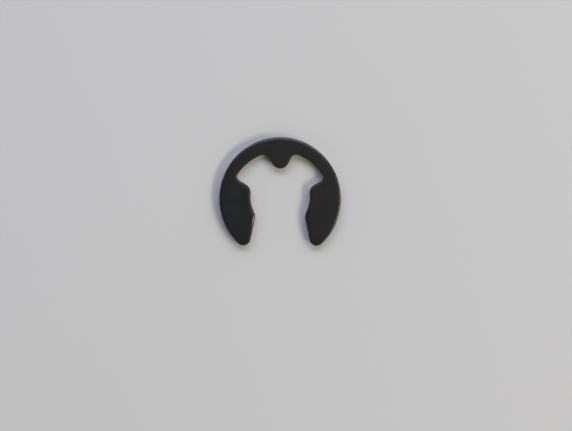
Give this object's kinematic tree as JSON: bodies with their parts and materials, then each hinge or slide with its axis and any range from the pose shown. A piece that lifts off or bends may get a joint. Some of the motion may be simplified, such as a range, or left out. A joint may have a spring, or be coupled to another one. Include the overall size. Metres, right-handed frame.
{
  "type": "e-clip",
  "caption": "Flat E-shaped retaining clip of dark spring steel, with a round crown, an inner tongue and an open mouth, that snaps sideways into a shaft's groove.",
  "frame": {"origin": "on the groove seat's axis, in the plane of the lower face", "axes": "+Z along the shaft, out of the rolled upper face; +Y from the seat's axis to the crown, away from the mouth; +X across the arms"},
  "size_m": [0.0204, 0.0183, 0.0012],
  "materials": {
    "blackened_steel": "black phosphate and oil, satin"
  },
  "bodies": {
    "root": {"e_clip": "blackened_steel"}
  },
  "joints": []
}
